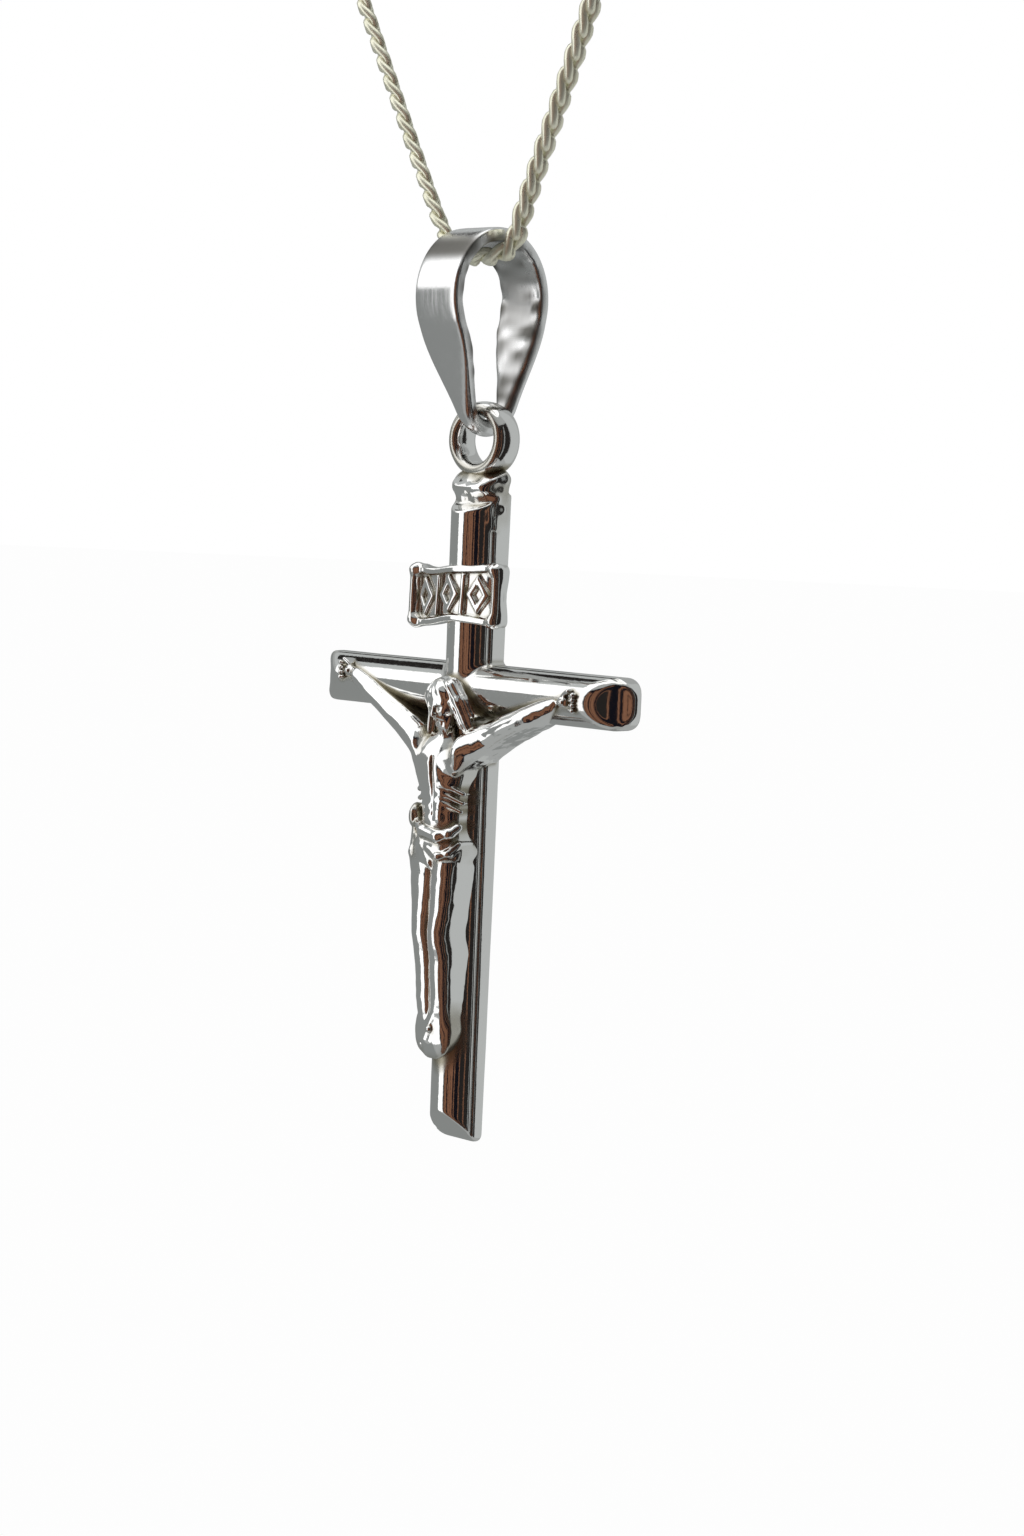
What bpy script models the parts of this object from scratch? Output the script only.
"""Silver crucifix pendant on a fine curb chain.

Frame: X across the cross, Y from front to back, Z up. The origin is the point that holds the
chain up: above the cross's centre line, in the chain's plane, level with the top of the clasp.
"""

import math

import bmesh
import bpy
import numpy as np
from mathutils import Matrix, Vector

MM = 0.001

# Levels of the whole piece
CROSSING_Z = -42.8 * MM          # where the two beams' centre lines meet
BACK_Y = 1.4 * MM                # the cross's flat back
TOUCH_GAP = 0.03 * MM            # kept between soldered pieces, which the solids can't share

# Cross: two half-round bars
BEAM_HALF_WIDTH = 1.3 * MM
DOME_DEPTH = 1.55 * MM
WALL_TOP = 0.92 * MM             # flat side wall behind the dome, at the upright's top
WALL_BOTTOM = 0.48 * MM          # and at its bottom, because the upright gets thinner
WALL_CROSSBAR = 0.78 * MM
UPRIGHT_TOP = 9.7 * MM           # above the crossing
UPRIGHT_BOTTOM = 22.9 * MM       # below the crossing
CROSSBAR_HALF_LENGTH = 10.35 * MM
END_RIM = 0.32 * MM              # upright band round each bevelled end
END_SLOPE = 0.95                 # how fast a bevelled end falls back from its rim
DOME_STEPS = 20

# Neck and eyelet on top of the upright
NECK_HALF_WIDTH = 1.24 * MM
NECK_DEPTH = 1.55 * MM
NECK_TOP = 10.95 * MM
EYELET_Z = 12.35 * MM
EYELET_Y = 0.57 * MM
EYELET_OUTER = 1.75 * MM
EYELET_HOLE = 1.06 * MM
EYELET_HALF_THICKNESS = 0.76 * MM

# Bail: a strap folded into a teardrop
BAIL_LEAN = math.radians(7.0)    # its top leans forward
BAIL_FOOT_RADIUS = 1.15 * MM     # inner radius of the bend that carries the eyelet
BAIL_TOP_RADIUS = 2.75 * MM      # inner radius of the arch that rides on the chain
BAIL_RISE = 4.7 * MM             # between the two bends' centres
BAIL_FOOT_Z = 14.5 * MM          # the lower bend's centre, above the crossing
STRAP_THICKNESS = 0.68 * MM
STRAP_FOOT_THICKNESS = 0.86 * MM
STRAP_TOP_WIDTH = 2.7 * MM
STRAP_FOOT_WIDTH = 0.86 * MM

# Title scroll
SCROLL_HALF_WIDTH = 3.05 * MM
SCROLL_HALF_HEIGHT = 1.6 * MM
SCROLL_Z = 4.65 * MM
SCROLL_FRONT_Y = -1.5 * MM
SCROLL_THICKNESS = 0.62 * MM
SCROLL_CURL_RADIUS = 0.42 * MM

# Chain and its end fittings
CHAIN_DIAMETER = 0.96 * MM
RING_WIRE = 0.5 * MM
JUMP_RING_RADIUS = 0.95 * MM     # to the wire's centre
TAG_RING_RADIUS = 1.5 * MM
CLASP_RADIUS = 2.2 * MM          # to the tube's centre
CLASP_TUBE = 0.6 * MM            # outer radius of the tube
CLASP_BORE = 0.42 * MM
TRIGGER_ROD = 0.34 * MM
CLASP_MOUTH = math.radians(52)   # width of the gap that the trigger closes
TRIGGER_TRAVEL = math.radians(34)
SPRING_TURNS = 7
LINK_GAP = 0.06 * MM             # play between linked rings

# Route of the chain's centre line, (x, z) from the crossing, left end to right end. It hangs
# from both ends, and the bail's arch rides on it where it is lowest.
CHAIN_ROUTE = [
    (-9.55, 34.95), (-8.35, 32.70), (-7.10, 30.35), (-5.85, 28.00), (-4.65, 25.76),
    (-3.62, 23.88), (-2.85, 22.62), (-2.05, 21.66), (-1.12, 21.00), (0.00, 20.74),
    (1.05, 21.00), (1.75, 21.74), (2.20, 22.76), (2.62, 23.88), (3.36, 25.80),
    (4.40, 28.40), (5.32, 30.78), (6.45, 33.74),
]
CHAIN_TUBE_POINTS = 24

# Joint points: the chain's centre line under the bail's arch, and where the eyelet hangs in
# the bail's foot
BAIL_PIVOT = (0.0, 0.0, CROSSING_Z + 21.15 * MM)
CROSS_PIVOT = (0.0, EYELET_Y, CROSSING_Z + EYELET_Z + 0.57 * MM)

SILVER = (0.86, 0.86, 0.85)
SATIN_SILVER = (0.74, 0.74, 0.74)
CHAIN_SILVER = (0.80, 0.79, 0.72)
STEEL = (0.45, 0.45, 0.46)


def clear_scene():
    for thing in list(bpy.data.objects):
        bpy.data.objects.remove(thing, do_unlink=True)


def metal(name, colour, roughness):
    material = bpy.data.materials.new(name)
    material.use_nodes = True
    shader = material.node_tree.nodes["Principled BSDF"]
    shader.inputs["Base Color"].default_value = (*colour, 1.0)
    shader.inputs["Metallic"].default_value = 1.0
    shader.inputs["Roughness"].default_value = roughness
    return material


def place(name, thing_data, material, origin=(0.0, 0.0, 0.0), smooth_angle=35.0):
    """Link an object with its own origin; a mesh is given in world coordinates."""
    if isinstance(thing_data, bpy.types.Mesh):
        thing_data.transform(Matrix.Translation(-Vector(origin)))
        thing_data.shade_smooth()
        thing_data.set_sharp_from_angle(angle=math.radians(smooth_angle))
    thing = bpy.data.objects.new(name, thing_data)
    thing.location = origin
    if material is not None:
        thing.data.materials.append(material)
    bpy.context.scene.collection.objects.link(thing)
    return thing


def cutter(name, mesh):
    thing = place(name, mesh, None)
    thing.hide_render = True
    thing.display_type = "WIRE"
    return thing


def boolean(thing, operand, operation):
    modifier = thing.modifiers.new(operation.lower(), "BOOLEAN")
    modifier.operation = operation
    modifier.solver = "EXACT"
    modifier.object = operand


def mesh_of(name, shape):
    bmesh.ops.recalc_face_normals(shape, faces=shape.faces)
    mesh = bpy.data.meshes.new(name)
    shape.to_mesh(mesh)
    shape.free()
    return mesh


def loft(rings, closed=False):
    """Skin a list of equal rings of points; closed joins the last ring to the first."""
    shape = bmesh.new()
    rows = [[shape.verts.new(point) for point in ring] for ring in rings]
    count = len(rings[0])
    pairs = list(zip(rows, rows[1:]))
    if closed:
        pairs.append((rows[-1], rows[0]))
    for low, high in pairs:
        for i in range(count):
            j = (i + 1) % count
            shape.faces.new((low[i], low[j], high[j], high[i]))
    if not closed:
        shape.faces.new(rows[0])
        shape.faces.new(rows[-1])
    return shape


# ---------------------------------------------------------------- cross

def half_round_section(wall, grow):
    """Section of a bar as (across, depth), depth counted forward from the flat back."""
    half = BEAM_HALF_WIDTH + grow
    rim = END_RIM
    points = [(-half, -grow), (-half, rim)]
    for i in range(DOME_STEPS + 1):
        turn = math.pi * i / DOME_STEPS
        points.append((-half * math.cos(turn), wall + (DOME_DEPTH + grow) * math.sin(turn)))
    points += [(half, rim), (half, -grow)]
    return points


def bar_end(section, level, inward):
    """Heights of a bevelled end: the rim is square, and the dome falls back from it."""
    return [(across, depth, level + inward * END_SLOPE * max(0.0, depth - END_RIM))
            for across, depth in section]


def half_round_bar(name, low, high, wall_low, wall_high, place_point, grow=0.0):
    first = bar_end(half_round_section(wall_low, grow), low - grow, 1.0)
    last = bar_end(half_round_section(wall_high, grow), high + grow, -1.0)
    shape = bmesh.new()
    ends = [[shape.verts.new(place_point(*point)) for point in end] for end in (first, last)]
    count = len(first)
    for i in range(count):
        j = (i + 1) % count
        shape.faces.new((ends[0][i], ends[0][j], ends[1][j], ends[1][i]))
    for end in ends:
        shape.faces.new((end[0], end[1], end[-2], end[-1]))
        shape.faces.new(end[1:-1])
    return mesh_of(name, shape)


def upright_mesh(name, grow=0.0):
    def along_z(across, depth, level):
        return (across, BACK_Y - depth, CROSSING_Z + level)
    return half_round_bar(name, -UPRIGHT_BOTTOM, UPRIGHT_TOP, WALL_BOTTOM, WALL_TOP, along_z, grow)


def crossbar_mesh(name, grow=0.0):
    def along_x(across, depth, level):
        return (level, BACK_Y - depth, CROSSING_Z + across)
    length = CROSSBAR_HALF_LENGTH
    return half_round_bar(name, -length, length, WALL_CROSSBAR, WALL_CROSSBAR, along_x, grow)


def neck_mesh():
    """Tab behind the upright's bevelled top, narrowing up to the eyelet."""
    rings = []
    for level, half, depth in ((7.5 * MM, NECK_HALF_WIDTH, NECK_DEPTH),
                               (10.4 * MM, NECK_HALF_WIDTH, NECK_DEPTH),
                               (NECK_TOP, 0.8 * NECK_HALF_WIDTH, 0.9 * NECK_DEPTH)):
        ring = []
        for i in range(16):
            turn = 2 * math.pi * i / 16
            across = half * math.copysign(abs(math.cos(turn)) ** 0.5, math.cos(turn))
            forward = depth * 0.5 * math.copysign(abs(math.sin(turn)) ** 0.5, math.sin(turn))
            ring.append((across, BACK_Y - 0.06 * MM - depth * 0.5 - forward, CROSSING_Z + level))
        rings.append(ring)
    return mesh_of("neck_union", loft(rings))


def eyelet_mesh(name, grow=0.0):
    """Thick ring round the Y axis, its section a flat oval."""
    middle = 0.5 * (EYELET_OUTER + EYELET_HOLE)
    radial = 0.5 * (EYELET_OUTER - EYELET_HOLE) + grow
    axial = EYELET_HALF_THICKNESS + grow
    rings = []
    for i in range(40):
        turn = 2 * math.pi * i / 40
        ring = []
        for k in range(16):
            section = 2 * math.pi * k / 16
            reach = middle + radial * math.cos(section)
            ring.append((reach * math.sin(turn),
                         EYELET_Y + axial * math.sin(section),
                         CROSSING_Z + EYELET_Z + reach * math.cos(turn)))
        rings.append(ring)
    return mesh_of(name, loft(rings, closed=True))


def add_cross(silver):
    body = place("cross_body", upright_mesh("cross_body"), silver, CROSS_PIVOT)
    boolean(body, cutter("crossbar_union", crossbar_mesh("crossbar_union")), "UNION")
    boolean(body, cutter("neck_union", neck_mesh()), "UNION")
    boolean(body, cutter("eyelet_seat", eyelet_mesh("eyelet_seat", TOUCH_GAP)), "DIFFERENCE")
    place("cross_eyelet", eyelet_mesh("cross_eyelet"), silver, CROSS_PIVOT)


# ---------------------------------------------------------------- bail

def bail_station(share):
    """Point on the strap's middle line, its outward direction, thickness and width.

    share runs from 0 at the foot, round the front, over the top at 0.5 and back to 1.
    """
    foot = BAIL_FOOT_RADIUS + 0.5 * STRAP_FOOT_THICKNESS
    top = BAIL_TOP_RADIUS + 0.5 * STRAP_THICKNESS
    splay = math.asin((top - foot) / BAIL_RISE)
    foot_arc = foot * (math.pi / 2 - splay)
    side = math.sqrt(BAIL_RISE ** 2 - (top - foot) ** 2)
    top_arc = top * (math.pi / 2 + splay)
    half = foot_arc + side + top_arc
    mirror = 1.0 if share <= 0.5 else -1.0
    run = 2.0 * half * min(share, 1.0 - share)
    if run < foot_arc:
        turn = run / foot
        centre, reach = 0.0, foot
    elif run < foot_arc + side:
        turn = math.pi / 2 - splay
        centre = (run - foot_arc) / side * BAIL_RISE
        reach = foot + (run - foot_arc) / side * (top - foot)
    else:
        turn = math.pi / 2 - splay + (run - foot_arc - side) / top
        centre, reach = BAIL_RISE, top
    outward = Vector((0.0, -mirror * math.sin(turn), -math.cos(turn)))
    point = Vector((0.0, 0.0, centre)) + outward * reach
    rise = min(1.0, max(0.0, (run - 0.4 * foot_arc) / (0.9 * side + 0.6 * foot_arc)))
    blend = rise * rise * (3.0 - 2.0 * rise)
    thickness = STRAP_FOOT_THICKNESS + (STRAP_THICKNESS - STRAP_FOOT_THICKNESS) * blend
    width = STRAP_FOOT_WIDTH + (STRAP_TOP_WIDTH - STRAP_FOOT_WIDTH) * blend
    squareness = 1.0 - 0.62 * blend
    return point, outward, thickness, width, squareness


def add_bail(satin):
    """The strap's section goes from a flat bar over the arch to a round one at its foot."""
    lean = Matrix.Rotation(BAIL_LEAN, 4, "X")
    foot = Matrix.Translation((0.0, EYELET_Y, CROSSING_Z + BAIL_FOOT_Z))
    stations = 60
    corners = 12
    rings = []
    for i in range(stations):
        point, outward, thickness, width, power = bail_station(i / stations)
        ring = []
        for k in range(corners):
            turn = 2 * math.pi * (k + 0.5) / corners
            across = 0.5 * width * math.copysign(abs(math.cos(turn)) ** power, math.cos(turn))
            out = 0.5 * thickness * math.copysign(abs(math.sin(turn)) ** power, math.sin(turn))
            local = point + outward * out + Vector((across, 0.0, 0.0))
            ring.append(foot @ lean @ local)
        rings.append(ring)
    place("bail", mesh_of("bail", loft(rings, closed=True)), satin, BAIL_PIVOT)


# ---------------------------------------------------------------- scroll and figure

def scroll_outline(share):
    """Half height of the scroll at a share of its half width: waisted, with flared ends."""
    return SCROLL_HALF_HEIGHT * (0.84 + 0.16 * share * share)


def add_title_scroll(silver):
    columns = 18
    rings = []
    for i in range(columns + 1):
        share = 2.0 * i / columns - 1.0
        x = share * SCROLL_HALF_WIDTH
        half = scroll_outline(share)
        front = SCROLL_FRONT_Y
        back = SCROLL_FRONT_Y + SCROLL_THICKNESS
        bulge = SCROLL_CURL_RADIUS * max(0.0, (abs(share) - 0.86) / 0.14) * 0.5
        wave = 0.12 * MM * math.sin(2.4 * share)
        level = CROSSING_Z + SCROLL_Z + wave
        rings.append([(x, front - bulge, level - half), (x, front - bulge, level + half),
                      (x, back + bulge, level + half), (x, back + bulge, level - half)])
    scroll = place("title_scroll", mesh_of("title_scroll", loft(rings)), silver, CROSS_PIVOT)
    boolean(scroll, cutter("scroll_seat", upright_mesh("scroll_seat", TOUCH_GAP)), "DIFFERENCE")


def limb(shape, start, end, radius_start, radius_end, flatten=1.0):
    """Rounded limb between two points given in millimetres: (x, forward of the back, z)."""
    points = []
    for centre, radius in ((start, radius_start), (end, radius_end)):
        ball = bmesh.new()
        bmesh.ops.create_icosphere(ball, subdivisions=2, radius=radius * MM)
        for corner in ball.verts:
            x, y, z = corner.co
            points.append((centre[0] * MM + x,
                           BACK_Y - centre[1] * MM + y * flatten,
                           CROSSING_Z + centre[2] * MM + z))
        ball.free()
    hull = bmesh.new()
    corners = [hull.verts.new(point) for point in points]
    result = bmesh.ops.convex_hull(hull, input=corners)
    inner = [item for item in result["geom_interior"] if isinstance(item, bmesh.types.BMVert)]
    bmesh.ops.delete(hull, geom=inner, context="VERTS")
    part = bpy.data.meshes.new("limb")
    hull.to_mesh(part)
    hull.free()
    shape.from_mesh(part)
    bpy.data.meshes.remove(part)


def add_corpus(silver):
    """Plain figure of the right size: head, trunk, outstretched arms, wrapped hips and legs."""
    shape = bmesh.new()
    limb(shape, (-0.10, 2.75, -0.35), (-0.18, 2.95, -1.45), 0.98, 0.80)
    limb(shape, (0.05, 2.45, -1.90), (0.0, 2.45, -3.10), 0.62, 0.80)
    limb(shape, (-0.95, 2.40, -3.10), (0.95, 2.40, -3.10), 1.00, 1.00)
    limb(shape, (-0.62, 2.35, -4.10), (-0.35, 2.25, -6.60), 1.10, 0.98)
    limb(shape, (0.62, 2.35, -4.10), (0.45, 2.25, -6.60), 1.10, 0.98)
    limb(shape, (-0.62, 2.25, -7.40), (-0.55, 2.35, -9.10), 1.05, 1.05)
    limb(shape, (0.68, 2.25, -7.40), (0.60, 2.35, -9.10), 1.10, 1.05)
    for side in (-1.0, 1.0):
        limb(shape, (side * 1.75, 2.40, -2.75), (side * 4.30, 2.45, -1.05), 0.74, 0.52)
        limb(shape, (side * 4.30, 2.45, -1.05), (side * 6.75, 2.45, -0.05), 0.54, 0.34)
        limb(shape, (side * 6.75, 2.45, -0.05), (side * 7.55, 2.35, 0.20), 0.42, 0.40)
        limb(shape, (side * 0.60, 2.30, -9.0), (side * 0.58, 2.75, -12.1), 0.92, 0.66)
        limb(shape, (side * 0.58, 2.75, -12.1), (side * 0.24, 2.25, -15.9), 0.66, 0.44)
    limb(shape, (0.12, 2.25, -15.9), (-0.05, 2.45, -17.75), 0.62, 0.55)
    limb(shape, (-0.05, 1.95, -16.9), (-0.05, 1.95, -17.9), 0.75, 0.60)
    corpus = place("corpus", mesh_of("corpus", shape), silver, CROSS_PIVOT)
    skin = corpus.modifiers.new("skin", "REMESH")
    skin.mode = "VOXEL"
    skin.voxel_size = 0.2 * MM
    fewer = corpus.modifiers.new("fewer", "DECIMATE")
    fewer.ratio = 0.28
    for name, mesh in (("corpus_seat", upright_mesh("corpus_seat", TOUCH_GAP)),
                       ("arm_seat", crossbar_mesh("arm_seat", TOUCH_GAP))):
        boolean(corpus, cutter(name, mesh), "DIFFERENCE")


# ---------------------------------------------------------------- chain and fittings

def smooth_route(points, per_span):
    """Catmull-Rom curve through the route's points, as world points."""
    route = [Vector((x * MM, 0.0, CROSSING_Z + z * MM)) for x, z in points]
    padded = [2 * route[0] - route[1]] + route + [2 * route[-1] - route[-2]]
    curve = []
    for a, b, c, d in zip(padded, padded[1:], padded[2:], padded[3:]):
        for i in range(per_span):
            t = i / per_span
            curve.append(0.5 * ((2 * b) + (c - a) * t + (2 * a - 5 * b + 4 * c - d) * t * t
                                + (3 * b - a - 3 * c + d) * t ** 3))
    curve.append(route[-1])
    return curve


def evenly(curve, count):
    """Points at even distances along a dense curve."""
    steps = [0.0]
    for a, b in zip(curve, curve[1:]):
        steps.append(steps[-1] + (b - a).length)
    wanted = np.linspace(0.0, steps[-1], count)
    columns = [np.interp(wanted, steps, [point[axis] for point in curve]) for axis in range(3)]
    return [Vector(point) for point in zip(*columns)]


def add_chain_run(chain_silver):
    points = evenly(smooth_route(CHAIN_ROUTE, 12), CHAIN_TUBE_POINTS)
    curve = bpy.data.curves.new("chain_run", "CURVE")
    curve.dimensions = "3D"
    spline = curve.splines.new("POLY")
    spline.points.add(len(points) - 1)
    for knot, point in zip(spline.points, points):
        knot.co = (*point, 1.0)
    curve.bevel_depth = 0.5 * CHAIN_DIAMETER
    curve.bevel_resolution = 2
    curve.use_fill_caps = True
    place("chain_run", curve, chain_silver)
    return points


def wire_ring(name, centre, across, along, radius, wire, material, start=0.0, sweep=None,
              origin=None):
    """Ring, or an open arc of one, in the plane of two unit directions."""
    normal = across.cross(along)
    steps = 28
    full = sweep is None
    angles = [start + (2 * math.pi if full else sweep) * i / steps
              for i in range(steps if full else steps + 1)]
    rings = []
    for turn in angles:
        out = across * math.sin(turn) + along * math.cos(turn)
        rings.append([centre + out * (radius + wire * math.cos(2 * math.pi * k / 12))
                      + normal * (wire * math.sin(2 * math.pi * k / 12)) for k in range(12)])
    mesh = mesh_of(name, loft(rings, closed=full))
    return mesh if material is None else place(name, mesh, material, origin or centre)


def end_frame(points):
    """The chain end's point and its outward direction."""
    return points[0], (points[0] - points[1]).normalized()


def add_left_end(points, chain_silver):
    """Jump ring closed round the last link, then the ring that the clasp hooks into."""
    end, out = end_frame(points)
    front = Vector((0.0, 1.0, 0.0))
    side = out.cross(front)
    jump = end + out * (JUMP_RING_RADIUS + 0.5 * RING_WIRE + LINK_GAP)
    wire_ring("tag_jump_ring", jump, side, out, JUMP_RING_RADIUS, 0.5 * RING_WIRE, chain_silver)
    tag = jump + out * (JUMP_RING_RADIUS + TAG_RING_RADIUS - RING_WIRE - LINK_GAP)
    hinge = jump + out * (JUMP_RING_RADIUS - 0.5 * RING_WIRE)
    wire_ring("tag_ring", tag, front, out, TAG_RING_RADIUS, 0.5 * RING_WIRE, chain_silver,
              origin=hinge)


def add_spring(centre, side, out, steel, hinge):
    """The return spring, at the length it has with the trigger drawn right back."""
    start = math.radians(196)
    sweep = math.radians(62)
    count = SPRING_TURNS * 10
    normal = side.cross(out)
    curve = bpy.data.curves.new("clasp_spring", "CURVE")
    curve.dimensions = "3D"
    spline = curve.splines.new("POLY")
    spline.points.add(count)
    for i, knot in enumerate(spline.points):
        turn = start + sweep * i / count
        wind = 2 * math.pi * SPRING_TURNS * i / count
        direction = side * math.sin(turn) + out * math.cos(turn)
        point = (centre + direction * (CLASP_RADIUS + 0.26 * MM * math.cos(wind))
                 + normal * (0.26 * MM * math.sin(wind)))
        knot.co = (*(point - hinge), 1.0)
    curve.bevel_depth = 0.055 * MM
    curve.bevel_resolution = 1
    curve.use_fill_caps = True
    place("clasp_spring", curve, steel, hinge)


def add_clasp(points, chain_silver, steel):
    """Spring ring: a bored tube bent round, a sliding rod with a thumb peg, and its spring.

    Angles are counted from the direction away from the chain; the eye is at 180 degrees.
    """
    end, out = end_frame(points[::-1])
    front = Vector((0.0, 1.0, 0.0))
    side = front.cross(out)
    jump = end + out * (JUMP_RING_RADIUS + 0.5 * RING_WIRE + LINK_GAP)
    wire_ring("clasp_jump_ring", jump, side, out, JUMP_RING_RADIUS, 0.5 * RING_WIRE, chain_silver)
    eye = jump + out * (2 * JUMP_RING_RADIUS - RING_WIRE - LINK_GAP)
    hinge = jump + out * (JUMP_RING_RADIUS - 0.5 * RING_WIRE)
    wire_ring("clasp_eye", eye, front, out, JUMP_RING_RADIUS, 0.5 * RING_WIRE, chain_silver,
              origin=hinge)
    centre = eye + out * (JUMP_RING_RADIUS + 0.5 * RING_WIRE + CLASP_TUBE + CLASP_RADIUS
                          + TOUCH_GAP)
    mouth_start = math.radians(40)
    tube_start = mouth_start + CLASP_MOUTH
    tube_sweep = 2 * math.pi - CLASP_MOUTH
    tube = wire_ring("clasp_body", centre, side, out, CLASP_RADIUS, CLASP_TUBE, chain_silver,
                     tube_start, tube_sweep, origin=hinge)
    bore_sweep = math.radians(172)
    bore = wire_ring("clasp_bore", centre, side, out, CLASP_RADIUS, CLASP_BORE, None,
                     tube_start - 0.1, bore_sweep + 0.1)
    boolean(tube, cutter("clasp_bore", bore), "DIFFERENCE")
    socket = wire_ring("clasp_socket", centre, side, out, CLASP_RADIUS, CLASP_BORE, None,
                       mouth_start - math.radians(9), math.radians(14))
    boolean(tube, cutter("clasp_socket", socket), "DIFFERENCE")
    peg_turn = tube_start + math.radians(16)
    slot = slot_mesh("clasp_slot", centre, side, out, peg_turn - math.radians(7),
                     TRIGGER_TRAVEL + math.radians(14), 0.26 * MM, 1.1 * MM)
    boolean(tube, cutter("clasp_slot", slot), "DIFFERENCE")
    rod = wire_ring("clasp_trigger", centre, side, out, CLASP_RADIUS, TRIGGER_ROD, chain_silver,
                    mouth_start - math.radians(6), CLASP_MOUTH + math.radians(46))
    peg = slot_mesh("trigger_peg", centre, side, out, peg_turn - math.radians(3.5),
                    math.radians(7), 0.18 * MM, 1.25 * MM)
    boolean(rod, cutter("trigger_peg", peg), "UNION")
    add_spring(centre, side, out, steel, hinge)


def slot_mesh(name, centre, side, out, start, sweep, half_width, reach):
    """Bar bent round the clasp's axis, from the tube's centre line outward."""
    normal = side.cross(out)
    rings = []
    for i in range(9):
        turn = start + sweep * i / 8
        direction = side * math.sin(turn) + out * math.cos(turn)
        inner = centre + direction * CLASP_RADIUS
        outer = centre + direction * (CLASP_RADIUS + reach)
        rings.append([inner - normal * half_width, inner + normal * half_width,
                      outer + normal * half_width, outer - normal * half_width])
    return mesh_of(name, loft(rings))


def main():
    clear_scene()
    silver = metal("polished_silver", SILVER, 0.08)
    satin = metal("satin_silver", SATIN_SILVER, 0.28)
    chain_silver = metal("chain_silver", CHAIN_SILVER, 0.2)
    steel = metal("spring_steel", STEEL, 0.35)
    add_cross(silver)
    add_title_scroll(silver)
    add_corpus(silver)
    add_bail(satin)
    points = add_chain_run(chain_silver)
    add_left_end(points, chain_silver)
    add_clasp(points, chain_silver, steel)


main()
